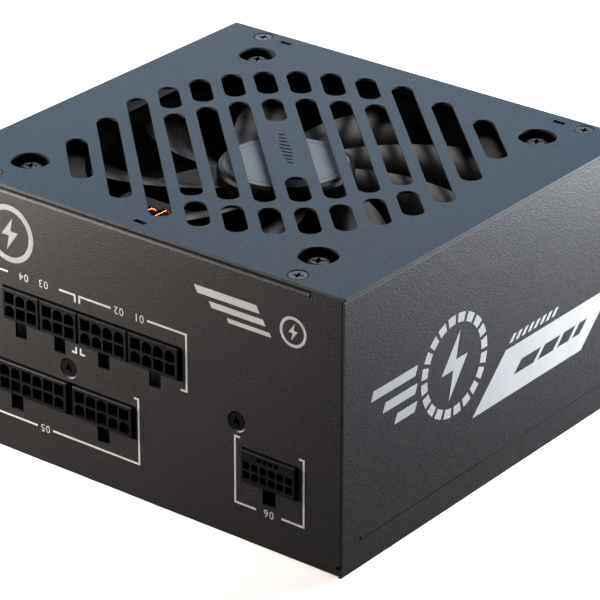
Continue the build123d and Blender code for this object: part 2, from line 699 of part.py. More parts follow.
def filter_choke_core():
    return toroid_core(*FILTER, 1.5)


def filter_choke_windings():
    right = toroid_winding(*FILTER, 0.55, 9, -52, 52, 1.5)
    return right + toroid_winding(*FILTER, 0.55, 9, 128, 232, 1.5)


def transformer_core():
    """Pair of E-shaped ferrite halves closed round the coil former."""
    outer = block(-14.0, 18.0, -30.0, 6.0, 14.0, 36.0)
    outer -= block(-10.0, 14.0, -31.0, 7.0, 18.5, 31.5)
    middle = block(-2.5, 6.5, -30.0, 6.0, 18.4, 31.6)
    return fillet((outer + middle).edges().filter_by(Axis.Z), 0.6)


def transformer_coil():
    """Coil former with its taped windings round the middle leg."""
    body = block(-9.8, 13.8, -34.0, 10.0, 10.4, 39.6)
    body = fillet(body.edges().filter_by(Axis.X), 2.0)
    body -= block(-20, 20, -30.02, 6.02, 9.0, 18.52)
    body -= block(-20, 20, -30.02, 6.02, 31.48, 41.0)
    body -= block(-2.52, 6.52, -36.0, 12.0, 18.38, 31.62)
    for y0, y1 in ((-34.0, -30.5), (6.5, 10.0)):
        body += block(-13.0, 17.0, y0, y1, BOARD_TOP, 12.0)
    return body


def standby_transformer():
    """Small taped transformer for the always-on supply."""
    coil = fillet(block(42.0, 58.0, -13.0, 5.0, 11.0, 26.0).edges().filter_by(Axis.Y), 2.0)
    core = block(44.0, 56.0, -15.5, 7.5, 10.0, 27.5) - block(43.0, 57.0, -12.0, 4.0, 9.0, 26.4)
    base = block(40.0, 60.0, -15.0, 7.0, BOARD_TOP, 11.0)
    return coil + core + base


def finned_heatsink(x0, side, y0, y1, z1, fins):
    """Upright aluminium extrusion; fins point to the given side."""
    plate = block(x0, x0 + 3.0, y0, y1, BOARD_TOP, z1)
    root = x0 + 3.0 if side > 0 else x0
    for i in range(fins):
        z = z1 - 1.0 - i * 5.0
        low, high = sorted((root - side * 0.2, root + side * 4.2))
        plate += block(low, high, y0, y1, z - 1.0, z)
    return plate


def primary_heatsink():
    return finned_heatsink(-22.0, 1, -46.0, 24.0, 50.0, 7)


def secondary_heatsink():
    return finned_heatsink(26.0, 1, -20.0, 30.0, 46.0, 6)


def power_transistors():
    """Flat-package switches screwed to the primary heatsink, legs into the main board."""
    parts = []
    for y in (-36.0, -18.0, 0.0):
        body = block(-26.8, -22.0, y - 7.5, y + 7.5, 22.0, 42.0)
        body = chamfer(body.faces().sort_by(Axis.X)[0].edges(), 0.5)
        body -= rod_x(y, 36.5, -28, -21, 1.8)
        for s in (-5.0, 0.0, 5.0):
            body += block(-24.8, -24.2, y + s - 0.6, y + s + 0.6, BOARD_TOP, 22.2)
        parts.append(body)
    return parts


def bridge_rectifier():
    """Four-legged rectifier against the end of the primary heatsink."""
    body = block(-26.4, -22.0, 9.5, 23.5, 20.0, 38.0)
    body = chamfer(body.faces().sort_by(Axis.X)[0].edges(), 0.4)
    for i in range(4):
        y = 10.9 + i * 3.7
        body += block(-24.6, -23.8, y - 0.5, y + 0.5, BOARD_TOP, 20.2)
    return body


def film_capacitors():
    """Two boxed interference-suppression capacitors."""
    boxes = []
    for x in (-59.0, -42.0):
        body = block(x - 4.3, x + 4.3, 14.0, 32.0, BOARD_TOP, 24.0)
        boxes.append(fillet(body.edges().filter_by(Axis.Z), 0.7))
    return boxes


def disc_capacitors():
    """Small discs from each mains line to the case."""
    discs = []
    for x, y in ((-50.0, 39.0), (-34.0, 39.0), (18.0, 42.0), (30.0, 42.0)):
        body = Pos(x, y, 16.4) * Rot(90, 0, 0) * Cylinder(4.6, 3.4)
        body = fillet(body.edges(), 1.2)
        for s in (-2.5, 2.5):
            body += rod(x + s, y, BOARD_TOP, 14.5, 0.35)
        discs.append(body)
    return discs


def fuse():
    """Tubular fuse with end caps, lying along Y."""
    body = rod_y(-62.0, 13.4, 40.0, 58.0, 2.6)
    body += rod_y(-62.0, 13.4, 38.0, 43.0, 2.9)
    body += rod_y(-62.0, 13.4, 55.0, 60.0, 2.9)
    for y in (39.0, 59.0):
        body += rod(-62.0, y, BOARD_TOP, 12.5, 0.4)
    return body


# ---- mains face ----------------------------------------------------------------
def ac_inlet():
    """Three-pole appliance inlet: flange outside, cavity for the plug, closed back."""
    flange = Rectangle(50.0, 23.0)
    flange = fillet(flange.vertices(), 4.0)
    body = extrude_y(Pos(INLET_X, INLET_Z) * flange, HY, HY + 2.2)
    body += block(INLET_X - 13.9, INLET_X + 13.9, 52.0, HY + 0.1, INLET_Z - 10.1, INLET_Z + 10.1)
    mouth = Polyline((-12.1, 8.1), (-12.1, -3.4), (-7.4, -8.1), (7.4, -8.1), (12.1, -3.4), (12.1, 8.1), close=True)
    body -= extrude_y(Pos(INLET_X, INLET_Z) * make_face(mouth), 54.0, HY + 3)
    for x, z in INLET_PINS:
        body -= block(x - 1.0, x + 1.0, 50.0, 55.0, z - 2.0, z + 2.0)
    for s in (-20.0, 20.0):
        body -= Pos(INLET_X + s, HY + 1, INLET_Z) * Rot(-90, 0, 0) * Cone(1.5, 3.1, 2.6)
        body -= rod_y(INLET_X + s, INLET_Z, HY - 1, HY + 3, 1.5)
    return body


def ac_inlet_pins():
    """Flat blades in the cavity, carried through to solder tabs behind."""
    blades = []
    for x, z in INLET_PINS:
        blades.append(block(x - 1.0, x + 1.0, 46.0, 68.0, z - 2.0, z + 2.0))
    return [chamfer(b.faces().sort_by(Axis.Y)[-1].edges(), 0.6) for b in blades]


def ac_inlet_screws():
    """Countersunk screws of the inlet flange."""
    screws = []
    for s in (-20.0, 20.0):
        body = turned([(0, 0), (2.8, 0), (2.8, -0.2), (1.48, -1.6), (1.48, -6.0), (0, -6.0)])
        body -= cross(2.8, 0.9, 0)
        screws.append(Pos(INLET_X + s, HY + 2.1, INLET_Z) * Rot(-90, 0, 0) * body)
    return screws


def switch_housing():
    """Rocker switch body with a bezel outside the steel."""
    bezel = RectangleRounded(15.0, 21.0, 1.2) - RectangleRounded(10.4, 16.6, 0.6)
    body = extrude_y(Pos(SWITCH_X, SWITCH_Z) * bezel, HY, HY + 2.0)
    box = block(SWITCH_X - 6.5, SWITCH_X + 6.5, 56.0, HY + 0.1, SWITCH_Z - 9.6, SWITCH_Z + 9.6)
    box -= block(SWITCH_X - 5.2, SWITCH_X + 5.2, 58.0, HY + 1, SWITCH_Z - 8.3, SWITCH_Z + 8.3)
    body += box
    body -= rod_x(HY - 0.6, SWITCH_Z, SWITCH_X - 5.9, SWITCH_X + 5.9, 0.85)
    return body


def power_rocker():
    """Rocker with two shallow-angled faces and its pivot stubs, shown switched off."""
    y, z = HY - 0.6, SWITCH_Z
    face = Polyline((-7.7, 2.0), (0.0, 3.0), (7.7, 2.0), (7.7, -1.2), (4.0, -4.6), (1.4, -5.6),
                    (-1.4, -5.6), (-4.0, -4.6), (-7.7, -1.2), close=True)
    profile = Pos(y, z) * Rot(0, 0, 90 + ROCK_ANGLE) * Rot(0, 0, 180) * make_face(face)
    body = extrude_x(profile, SWITCH_X - 4.9, SWITCH_X + 4.9)
    body += rod_x(y, z, SWITCH_X - 5.7, SWITCH_X + 5.7, 0.8)
    return body


def switch_terminals():
    """Two solder tabs out of the back of the switch."""
    return [block(SWITCH_X - 2.4, SWITCH_X + 2.4, 48.5, 56.0, SWITCH_Z + s - 0.4, SWITCH_Z + s + 0.4)
            for s in (-5.5, 5.5)]


def mains_wires():
    """Live lead to the switch, switched live and neutral leads down to the board."""
    (x1, z1), (x2, z2) = INLET_PINS[0], INLET_PINS[1]
    sw = SWITCH_X
    live = wire([(x2, 45.9, z2), (x2, 42.6, z2), (x2 + 4, 42.6, SWITCH_Z + 5.5), (sw, 42.6, SWITCH_Z + 5.5),
                 (sw, 48.4, SWITCH_Z + 5.5)], 1.1)
    switched = wire([(sw, 48.4, SWITCH_Z - 5.5), (sw, 44.8, SWITCH_Z - 5.5), (sw, 44.8, BOARD_TOP + 0.1)], 1.1)
    neutral = wire([(x1, 45.9, z1), (x1, 42.6, z1), (x1, 42.6, BOARD_TOP + 0.1)], 1.1)
    return [live, switched, neutral]


def earth_wire():
    """Green and yellow lead from the inlet to the main board."""
    x, z = INLET_PINS[2]
    return wire([(x, 45.9, z), (x, 40.8, z), (x, 40.8, BOARD_TOP + 0.1)], 1.1)


def rating_label():
    """Blank rating sticker on the -X side wall."""
    return block(-HX - 0.12, -HX, -48.0, 48.0, 20.0, 76.0)


# ---- write every piece ----------------------------------------------------------
def group(shapes):
    """Several separate solids that share one piece name."""
    return Compound(children=[s for s in shapes])


PIECES = {
    "base_tray": base_tray(),
    "cover": cover(),
    "fan_grille_lid": fan_grille_lid(),
    "lid_screws": group(lid_screws()),
    "fan_screws": group(fan_screws()),
    "face_screws": group(face_screws()),
    "fan_frame": fan_frame(),
    "fan_impeller": fan_impeller(),
    "fan_hub_label": fan_hub_label(),
    "fan_shaft": fan_shaft(),
    "fan_yoke": fan_yoke(),
    "fan_magnet": fan_magnet(),
    "fan_bearing": fan_bearing(),
    "fan_stator": fan_stator(),
    "fan_coils": group(fan_coils()),
    "fan_circuit_board": fan_circuit_board(),
    "fan_lead": group(fan_lead()),
    "fan_plug": fan_plug(),
    "fan_header": fan_header(),
    "main_circuit_board": main_circuit_board(),
    "insulation_sheet": insulation_sheet(),
    "board_standoffs": group(board_standoffs()),
    "board_screws": group(board_screws()),
    "modular_circuit_board": modular_circuit_board(),
    "modular_board_spacers": group(modular_board_spacers()),
    "graphics_socket": graphics_socket(),
    "socket_pins": group(socket_pins()),
    "modular_capacitors": group(modular_capacitors()),
    "bus_bars": group(bus_bars()),
    "bulk_capacitor": bulk_capacitor(),
    "output_capacitors": group(output_capacitors()),
    "pfc_choke_core": pfc_choke_core(),
    "pfc_choke_winding": group(pfc_choke_winding()),
    "filter_choke_core": filter_choke_core(),
    "filter_choke_windings": group(filter_choke_windings()),
    "transformer_core": transformer_core(),
    "transformer_coil": transformer_coil(),
    "standby_transformer": standby_transformer(),
    "primary_heatsink": primary_heatsink(),
    "secondary_heatsink": secondary_heatsink(),
    "power_transistors": group(power_transistors()),
    "bridge_rectifier": bridge_rectifier(),
    "film_capacitors": group(film_capacitors()),
    "disc_capacitors": group(disc_capacitors()),
    "fuse": fuse(),
    "ac_inlet": ac_inlet(),
    "ac_inlet_pins": group(ac_inlet_pins()),
    "ac_inlet_screws": group(ac_inlet_screws()),
    "switch_housing": switch_housing(),
    "power_rocker": power_rocker(),
    "switch_terminals": group(switch_terminals()),
    "mains_wires": group(mains_wires()),
    "earth_wire": earth_wire(),
    "rating_label": rating_label(),
}
for name, x0, count, mid in SOCKETS:
    PIECES[name] = socket(name, x0, count, mid)

os.makedirs("parts", exist_ok=True)
for name, shape in PIECES.items():
    export_step(shape, os.path.join("parts", name + ".step"))
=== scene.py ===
import math

import bpy
from mathutils import Matrix, Vector


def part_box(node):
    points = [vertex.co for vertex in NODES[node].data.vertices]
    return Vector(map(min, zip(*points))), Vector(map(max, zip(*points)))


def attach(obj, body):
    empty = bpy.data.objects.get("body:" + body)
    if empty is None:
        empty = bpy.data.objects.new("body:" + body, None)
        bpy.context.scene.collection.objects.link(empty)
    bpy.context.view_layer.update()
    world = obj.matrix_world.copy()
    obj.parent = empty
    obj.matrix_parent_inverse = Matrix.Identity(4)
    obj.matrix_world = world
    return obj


# Metres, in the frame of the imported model: +Z up through the fan lid, -Y out of the sockets.
# Printed marks are drawn in millimetres and scaled by MM.
MM = 0.001

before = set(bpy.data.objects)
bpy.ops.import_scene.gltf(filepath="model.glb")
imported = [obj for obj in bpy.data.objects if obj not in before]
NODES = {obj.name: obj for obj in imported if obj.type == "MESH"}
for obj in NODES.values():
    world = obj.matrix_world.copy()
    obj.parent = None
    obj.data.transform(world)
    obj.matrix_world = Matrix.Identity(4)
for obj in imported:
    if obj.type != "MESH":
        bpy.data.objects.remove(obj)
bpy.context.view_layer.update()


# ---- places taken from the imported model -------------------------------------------
def low(node):
    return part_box(node)[0]


def high(node):
    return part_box(node)[1]


FACE_Y = low("base_tray")[1]            # outside of the socket face
SIDE_X = high("cover")[0]
LID_TOP = high("fan_grille_lid")[2]


# ---- materials ---------------------------------------------------------------------
class Shader:
    """A small wrapper round one material's node tree."""

    def __init__(self, name):
        self.mat = bpy.data.materials.new(name)
        self.mat.use_nodes = True
        self.tree = self.mat.node_tree
        self.bsdf = self.tree.nodes["Principled BSDF"]
        self.coord = self.node("ShaderNodeTexCoord").outputs["Object"]

    def node(self, kind, **settings):
        made = self.tree.nodes.new(kind)
        for key, value in settings.items():
            setattr(made, key, value)
        return made

    def link(self, source, target):
        self.tree.links.new(source, target)

    def put(self, socket, value):
        """Sets a socket of the shader: a number, a colour or another node's output."""
        target = self.bsdf.inputs[socket]
        if isinstance(value, bpy.types.NodeSocket):
            self.link(value, target)
        elif isinstance(value, (tuple, list)):
            target.default_value = (*value, 1.0)[:4]
        else:
            target.default_value = value

    def noise(self, size, detail=2.0, stretch=None):
        """Noise whose features are about size metres across; stretch lengthens them per axis."""
        coord = self.coord
        if stretch:
            mapping = self.node("ShaderNodeMapping")
            mapping.inputs["Scale"].default_value = [1 / s for s in stretch]
            self.link(coord, mapping.inputs["Vector"])
            coord = mapping.outputs["Vector"]
        tex = self.node("ShaderNodeTexNoise")
        tex.inputs["Scale"].default_value = 1 / size
        tex.inputs["Detail"].default_value = detail
        self.link(coord, tex.inputs["Vector"])
        return tex.outputs["Fac"]

    def cells(self, size):
        """Distance to the nearest of scattered points, about size metres apart, in units of size."""
        tex = self.node("ShaderNodeTexVoronoi")
        tex.inputs["Scale"].default_value = 1 / size
        self.link(self.coord, tex.inputs["Vector"])
        return tex.outputs["Distance"]

    def span(self, value, low_in, high_in, low_out, high_out):
        """Maps a value from one range to another, clamped."""
        made = self.node("ShaderNodeMapRange")
        made.inputs["From Min"].default_value = low_in
        made.inputs["From Max"].default_value = high_in
        made.inputs["To Min"].default_value = low_out
        made.inputs["To Max"].default_value = high_out
        self.link(value, made.inputs["Value"])
        return made.outputs["Result"]

    def blend(self, factor, first, second):
        """Colour mix; each colour is a triple or an output."""
        made = self.node("ShaderNodeMix", data_type="RGBA")
        self.link(factor, made.inputs["Factor"])
        colour_a, colour_b = made.inputs[6], made.inputs[7]     # the mix node's two colour sockets
        for socket, value in ((colour_a, first), (colour_b, second)):
            if isinstance(value, bpy.types.NodeSocket):
                self.link(value, socket)
            else:
                socket.default_value = (*value, 1.0)
        return made.outputs[2]

    def math(self, operation, first, second=None):
        made = self.node("ShaderNodeMath", operation=operation)
        for socket, value in zip(made.inputs, (first, second)):
            if isinstance(value, bpy.types.NodeSocket):
                self.link(value, socket)
            elif value is not None:
                socket.default_value = value
        return made.outputs[0]

    def axis(self, letter):
        split = self.node("ShaderNodeSeparateXYZ")
        self.link(self.coord, split.inputs[0])
        return split.outputs[letter]

    def relief(self, *layers):
        """Stacks bump layers of (height output, depth in metres) onto the shader's normal."""
        normal = None
        for height, depth in layers:
            bump = self.node("ShaderNodeBump")
            bump.inputs["Strength"].default_value = 1.0
            bump.inputs["Distance"].default_value = depth
            self.link(height, bump.inputs["Height"])
            if normal:
                self.link(normal, bump.inputs["Normal"])
            normal = bump.outputs["Normal"]
        self.put("Normal", normal)


def shade(colour, factor):
    return tuple(min(1.0, c * factor) for c in colour)


PEEL_SIZE = 0.0032              # spacing of the soft waves in a powder coat
CLOUD_SIZE = 0.035              # slow drift of a coat's tone


def powder_coat(name, colour, grain, depth, rough, peel=0.00001, speck=0.25, gloss=0.2):
    """Baked powder coat: fine pebbled grain over long soft waves, with light and dark specks."""
    s = Shader(name)
    pebble = s.noise(grain, 0.0)
    fine = s.noise(grain * 0.45, 0.0)
    broad = s.noise(CLOUD_SIZE)
    toned = s.blend(s.span(pebble, 0.36, 0.64, 0, 1), shade(colour, 1 - speck), shade(colour, 1 + speck))
    s.put("Base Color", s.blend(s.span(broad, 0.3, 0.7, 0, 0.35), toned, shade(colour, 1.25)))
    s.put("Roughness", s.span(fine, 0.3, 0.7, rough - 0.07, rough + 0.09))
    s.put("Specular IOR Level", gloss)
    s.relief((s.noise(PEEL_SIZE, 1.0), peel), (pebble, depth), (fine, depth * 0.5))
    return s.mat


def plastic(name, colour, rough, grain=0.0004, depth=0.000004, mottle=0.12, coat=0.0, gloss=0.4,
            wave=0.00001):
    """Moulded plastic with a faint spark-eroded texture and slight colour drift."""
    s = Shader(name)
    fine = s.noise(grain)
    drift = s.noise(0.012)
    pale, deep = shade(colour, 1 + mottle), shade(colour, 1 - mottle)
    s.put("Base Color", s.blend(s.span(drift, 0.3, 0.7, 0, 1), deep, pale))
    s.put("Roughness", s.span(fine, 0.3, 0.7, rough - 0.05, rough + 0.07))
    s.put("Coat Weight", coat)
    s.put("Coat Roughness", 0.08)
    s.put("Specular IOR Level", gloss)
    s.relief((fine, depth), (drift, wave))
    return s.mat


def metal(name, colour, rough, brush=None, tarnish=0.15):
    """Bare or plated metal; brush gives the stretch of its drawing or turning marks per axis."""
    s = Shader(name)
    marks = s.noise(0.00025, 3.0, stretch=brush)
    stain = s.noise(0.006, 3.0)
    s.put("Base Color", s.blend(s.span(stain, 0.35, 0.7, 0, 1), colour, shade(colour, 1 - tarnish)))
    s.put("Metallic", 1.0)
    s.put("Roughness", s.span(marks, 0.25, 0.75, rough - 0.08, rough + 0.12))
    s.relief((marks, 0.000003))
    return s.mat


TRACE_LENGTH = 0.011            # copper blocks under the solder mask, and the gaps between them
TRACE_PITCH = 0.0031
TRACE_GAP = 0.0005
VIA_PITCH = 0.0042
PAD_METAL = (0.35, 0.3, 0.2)


def circuit_board(name, colour, upright=False):
    """Solder mask over copper: blocky traces, pads and vias seen as lighter, raised patches."""
    s = Shader(name)
    coord = s.coord
    if upright:
        turned = s.node("ShaderNodeMapping")
        turned.inputs["Rotation"].default_value = (math.radians(-90), 0, 0)
        s.link(coord, turned.inputs["Vector"])
        coord = turned.outputs["Vector"]
    bricks = s.node("ShaderNodeTexBrick", offset=0.37, squash=0.6, squash_frequency=3)
    bricks.inputs["Scale"].default_value = 1.0
    bricks.inputs["Brick Width"].default_value = TRACE_LENGTH
    bricks.inputs["Row Height"].default_value = TRACE_PITCH
    bricks.inputs["Mortar Size"].default_value = TRACE_GAP
    s.link(coord, bricks.inputs["Vector"])
    vias = s.span(s.cells(VIA_PITCH), 0.10, 0.14, 1, 0)
    drift = s.noise(0.02)
    base = s.blend(bricks.outputs["Fac"], shade(colour, 1.5), colour)
    base = s.blend(s.span(drift, 0.3, 0.7, 0, 0.4), base, shade(colour, 0.6))
    s.put("Base Color", s.blend(vias, base, PAD_METAL))
    s.put("Roughness", s.span(drift, 0.3, 0.7, 0.28, 0.4))
    s.put("Coat Weight", 0.3)
    s.relief((bricks.outputs["Fac"], 0.00003), (vias, 0.00002))
    return s.mat


def striped(name, colour, line, axis, pitch, share, rough, metallic=0.0, depth=0.00003):
    """Regular fine lines across one axis, as on stacked laminations or wound tape."""
    s = Shader(name)
    phase = s.math("FRACT", s.math("DIVIDE", s.axis(axis), pitch))
    edge = s.math("LESS_THAN", phase, share)
    drift = s.noise(0.005, 3.0)
    base = s.blend(edge, colour, line)
    s.put("Base Color", s.blend(s.span(drift, 0.3, 0.7, 0, 0.5), base, shade(colour, 0.7)))
    s.put("Metallic", metallic)
    s.put("Roughness", s.span(drift, 0.3, 0.7, rough - 0.05, rough + 0.08))
    s.relief((edge, -depth), (s.noise(0.0006), 0.000006))
    return s.mat


# sheet metal of the case
COAT_DARK = powder_coat("coat_dark", (0.0058, 0.0052, 0.0052), grain=0.00043, depth=0.000055, rough=0.46,
                        speck=0.5, gloss=0.17)
COAT_BLUE = powder_coat("coat_blue", (0.0106, 0.0298, 0.0478), grain=0.00052, depth=0.000025, rough=0.46,
                        peel=0.000006, speck=0.16, gloss=0.07)
COAT_EDGE = powder_coat("coat_edge", (0.02, 0.021, 0.022), grain=0.0004, depth=0.00001, rough=0.5,
                        peel=0.000006, speck=0.1, gloss=0.1)
COAT_BEND = powder_coat("coat_bend", (0.007, 0.0066, 0.0066), grain=0.00043, depth=0.00004, rough=0.6,
                        speck=0.3, gloss=0.05)
LABEL = plastic("label_stock", (0.10, 0.102, 0.105), 0.45, grain=0.0006, depth=0.000003, mottle=0.04)

# fasteners and bare metal
SCREW_STEEL = metal("screw_zinc", (0.36, 0.38, 0.41), 0.3, tarnish=0.3)
SCREW_BLUE = metal("screw_blued", (0.018, 0.027, 0.036), 0.4, tarnish=0.3)
SCREW_BLACK = metal("screw_black", (0.018, 0.0176, 0.0176), 0.36, tarnish=0.35)
STEEL = metal("steel_ground", (0.5, 0.5, 0.51), 0.25, brush=(1, 1, 8))
STEEL_DULL = metal("steel_dull", (0.35, 0.35, 0.36), 0.4)
BRONZE = metal("sintered_bronze", (0.5, 0.31, 0.14), 0.5)
BRASS = metal("spacer_brass", (0.62, 0.46, 0.2), 0.3)
COPPER = metal("copper_enamel", (0.3, 0.074, 0.022), 0.26, tarnish=0.3)
TIN = metal("tin_plate", (0.42, 0.41, 0.38), 0.34)
ALUMINIUM = metal("extruded_aluminium", (0.28, 0.285, 0.29), 0.4, brush=(1, 12, 1))
CAN_TOP = metal("can_top", (0.32, 0.32, 0.33), 0.32)

# fan and sockets
FAN_GLOSS = plastic("fan_gloss", (0.0016, 0.0016, 0.0018), 0.36, grain=0.0003, depth=0.000001, mottle=0.2,
                    gloss=0.17, wave=0)
FAN_MATT = plastic("fan_matt", (0.0016, 0.0016, 0.0018), 0.5, depth=0.000006, gloss=0.08)
HUB_FILM = plastic("hub_film", (0.022, 0.062, 0.1), 0.42, grain=0.0003, depth=0.000002, mottle=0.05)
NYLON = plastic("nylon_black", (0.0018, 0.0017, 0.0017), 0.4, grain=0.0006, depth=0.000008, mottle=0.25,
                gloss=0.12)
NYLON_WHITE = plastic("nylon_white", (0.3, 0.29, 0.26), 0.42)
MAGNET = plastic("bonded_magnet", (0.028, 0.028, 0.03), 0.6, grain=0.0003, depth=0.00001, mottle=0.2)
LAMINATION = striped("laminations", (0.3, 0.3, 0.31), (0.06, 0.06, 0.06), "Z", pitch=0.0005, share=0.25,
                     rough=0.38, metallic=1.0)

# boards and what stands on them
BOARD = circuit_board("main_board_mask", (0.012, 0.05, 0.026))
BOARD_UPRIGHT = circuit_board("upright_board_mask", (0.010, 0.012, 0.011), upright=True)
FERRITE = plastic("ferrite", (0.035, 0.036, 0.04), 0.62, depth=0.00002, mottle=0.3)
SLEEVE_DARK = plastic("sleeve_dark", (0.012, 0.014, 0.022), 0.25, grain=0.0012, mottle=0.15, coat=0.3)
TAPE = striped("coil_tape", (0.3, 0.21, 0.025), (0.19, 0.125, 0.014), "Y", pitch=0.0062, share=0.06,
               rough=0.35)
CORE_COAT = plastic("core_coat", (0.02, 0.075, 0.05), 0.5, grain=0.0007, depth=0.00002, mottle=0.2)
EPOXY = plastic("epoxy_black", (0.018, 0.018, 0.019), 0.5, grain=0.0003, depth=0.00001)
FILM_BOX = plastic("film_capacitor_box", (0.24, 0.175, 0.03), 0.35)
DISC_BLUE = plastic("disc_blue", (0.01, 0.045, 0.15), 0.3, grain=0.0012, depth=0.00002)
CERAMIC = plastic("fuse_ceramic", (0.3, 0.29, 0.26), 0.4)
FILM_BLACK = plastic("insulating_film", (0.02, 0.02, 0.02), 0.3, grain=0.0008, depth=0.000003)
PVC_BLACK = plastic("pvc_black", (0.015, 0.015, 0.015), 0.4)
PVC_RED = plastic("pvc_red", (0.42, 0.02, 0.015), 0.4)
PVC_BROWN = plastic("pvc_brown", (0.13, 0.045, 0.02), 0.4)
PVC_BLUE = plastic("pvc_blue", (0.02, 0.09, 0.4), 0.4)
PVC_EARTH = striped("pvc_earth", (0.05, 0.28, 0.05), (0.75, 0.62, 0.04), "X", pitch=0.0022, share=0.4,
                    rough=0.4, depth=0)

# printing inks
INK_LIGHT = plastic("ink_light", (0.165, 0.166, 0.168), 0.7, grain=0.0005, depth=0.000006, mottle=0.05)
# A dimmer copy of the pale print ink; on the emblem at the left of the socket face it is painted shade
# against the near left lamps, and the side's marks use it too.
INK_DIMMED = plastic("ink_dimmed", (0.105, 0.102, 0.1), 0.7, grain=0.0005, depth=0.000006, mottle=0.05)
INK_DARK = plastic("ink_dark", (0.03, 0.03, 0.032), 0.5)
INK_BLUE = plastic("ink_blue", (0.02, 0.2, 0.7), 0.35)


def paint(node, materials, choose=None):
    """Gives a CAD node its materials; choose(centre, normal) picks one per face."""
    mesh = NODES[node].data
    mesh.materials.clear()
    for material in materials:
        mesh.materials.append(material)
    for face in mesh.polygons:
        face.material_index = choose(face.center, face.normal) if choose else 0


def crisp(node, width, angle=35):
    """Small rounded edges that catch the light, from a bevel that leaves the CAD mesh alone."""
    bevel = NODES[node].modifiers.new("edge", "BEVEL")
    bevel.width = width
    bevel.segments = 2
    bevel.limit_method = "ANGLE"
    bevel.angle_limit = math.radians(angle)
    bevel.harden_normals = False


ONE_MATERIAL = {
    "base_tray": COAT_DARK, "rating_label": LABEL,
    "lid_screws": SCREW_BLUE, "fan_screws": SCREW_BLACK, "face_screws": SCREW_BLACK,
    "fan_frame": FAN_MATT, "fan_impeller": FAN_GLOSS, "fan_hub_label": HUB_FILM, "fan_shaft": STEEL,
    "fan_yoke": STEEL_DULL, "fan_magnet": MAGNET, "fan_bearing": BRONZE, "fan_stator": LAMINATION,
    "fan_coils": COPPER, "fan_circuit_board": BOARD, "fan_plug": NYLON_WHITE, "fan_header": NYLON_WHITE,
    "main_circuit_board": BOARD, "modular_circuit_board": BOARD_UPRIGHT, "insulation_sheet": FILM_BLACK,
    "board_standoffs": BRASS, "board_screws": SCREW_STEEL, "modular_board_spacers": BRASS,
    "cpu_socket_right": NYLON, "cpu_socket_left": NYLON, "drive_socket_right": NYLON,
    "drive_socket_left": NYLON, "main_socket_10_way": NYLON, "main_socket_18_way": NYLON,
    "graphics_socket": NYLON, "socket_pins": TIN, "bus_bars": TIN,
    "pfc_choke_core": CORE_COAT, "pfc_choke_winding": COPPER, "filter_choke_core": CORE_COAT,
    "filter_choke_windings": COPPER, "transformer_core": FERRITE, "transformer_coil": TAPE,
    "standby_transformer": TAPE, "primary_heatsink": ALUMINIUM, "secondary_heatsink": ALUMINIUM,
    "power_transistors": EPOXY, "bridge_rectifier": EPOXY, "film_capacitors": FILM_BOX,
    "disc_capacitors": DISC_BLUE, "fuse": CERAMIC,
    "ac_inlet": NYLON, "ac_inlet_pins": TIN, "ac_inlet_screws": SCREW_BLACK, "switch_housing": NYLON,
    "switch_terminals": TIN, "power_rocker": NYLON, "earth_wire": PVC_EARTH,
}
for node_name, material in ONE_MATERIAL.items():
    paint(node_name, [material])

WIRE_SPLIT_X = -0.044           # between the two mains wires
CAN_FACE = 0.8                  # a face whose normal is steeper than this is a capacitor's bare top


def lid_coat_and_recess_shade(centre, normal):
    """Blue on the flat sheet, paler on its cut edges; its upward sloping faces, such as the countersinks,
    take the dark case coat as painted shade.
    """
    if abs(normal.z) < 0.4:
        return 1
    # upward sloping faces such as the countersinks: the dark case coat as painted shade
    return 2 if 0 < normal.z < 0.95 else 0


def cover_coat(centre, normal):
    """The long bends beside the top sheet are a duller coat than the walls."""
    return 1 if 0.05 < normal.z < 0.97 and abs(normal.x) > 0.2 else 0


paint("cover", [COAT_DARK, COAT_BEND], cover_coat)
paint("fan_grille_lid", [COAT_BLUE, COAT_EDGE, COAT_DARK], lid_coat_and_recess_shade)
paint("fan_lead", [PVC_BLACK, PVC_RED], lambda c, n: 1 if c.y > 0 else 0)
paint("mains_wires", [PVC_BROWN, PVC_BLUE], lambda c, n: 1 if c.x < WIRE_SPLIT_X else 0)
for can in ("bulk_capacitor", "output_capacitors"):
    paint(can, [SLEEVE_DARK, CAN_TOP], lambda c, n: 1 if n.z > CAN_FACE else 0)
paint("modular_capacitors", [SLEEVE_DARK, CAN_TOP], lambda c, n: 1 if n.y < -CAN_FACE else 0)

crisp("fan_grille_lid", 0.0002)
crisp("cover", 0.00015, 50)
crisp("base_tray", 0.00012, 50)


# ---- drawing flat marks, in millimetres ------------------------------------------------
def ring(x, y, outer, inner, steps=96):
    """Two loops of a flat ring."""
    loops = []
    for r in (outer, inner):
        turns = [2 * math.pi * i / steps for i in range(steps)]
        loops.append([(x + r * math.cos(a), y + r * math.sin(a)) for a in turns])
    return loops


def bar(x0, x1, y0, y1, lean=0.0):
    """Straight bar; lean shifts its top edge sideways."""
    return [[(x0, y0), (x1, y0), (x1 + lean, y1), (x0 + lean, y1)]]


def polyline(points, width):
    """Outline of a line of constant width with mitred corners."""
    h = width / 2
    sides = ([], [])
    for i, (x, y) in enumerate(points):
        runs = []
        for (x0, y0), (x1, y1) in zip(points[max(i - 1, 0):i + 1], points[max(i, 1):i + 2]):
            long = math.hypot(x1 - x0, y1 - y0)
            runs.append((-(y1 - y0) / long, (x1 - x0) / long))
        nx, ny = sum(r[0] for r in runs), sum(r[1] for r in runs)
        reach = h / (nx * runs[0][0] + ny * runs[0][1])
        for side, sign in zip(sides, (1, -1)):
            side.append((x + sign * nx * reach, y + sign * ny * reach))
    return [sides[0] + sides[1][::-1]]


def bolt(x, y, size):
    """Plain zigzag flash, the common sign for electricity."""
    shape = [(0.12, 0.5), (-0.3, -0.06), (-0.03, -0.06), (-0.12, -0.5), (0.3, 0.08), (0.03, 0.08)]
    return [[(x + a * size, y + b * size) for a, b in shape]]


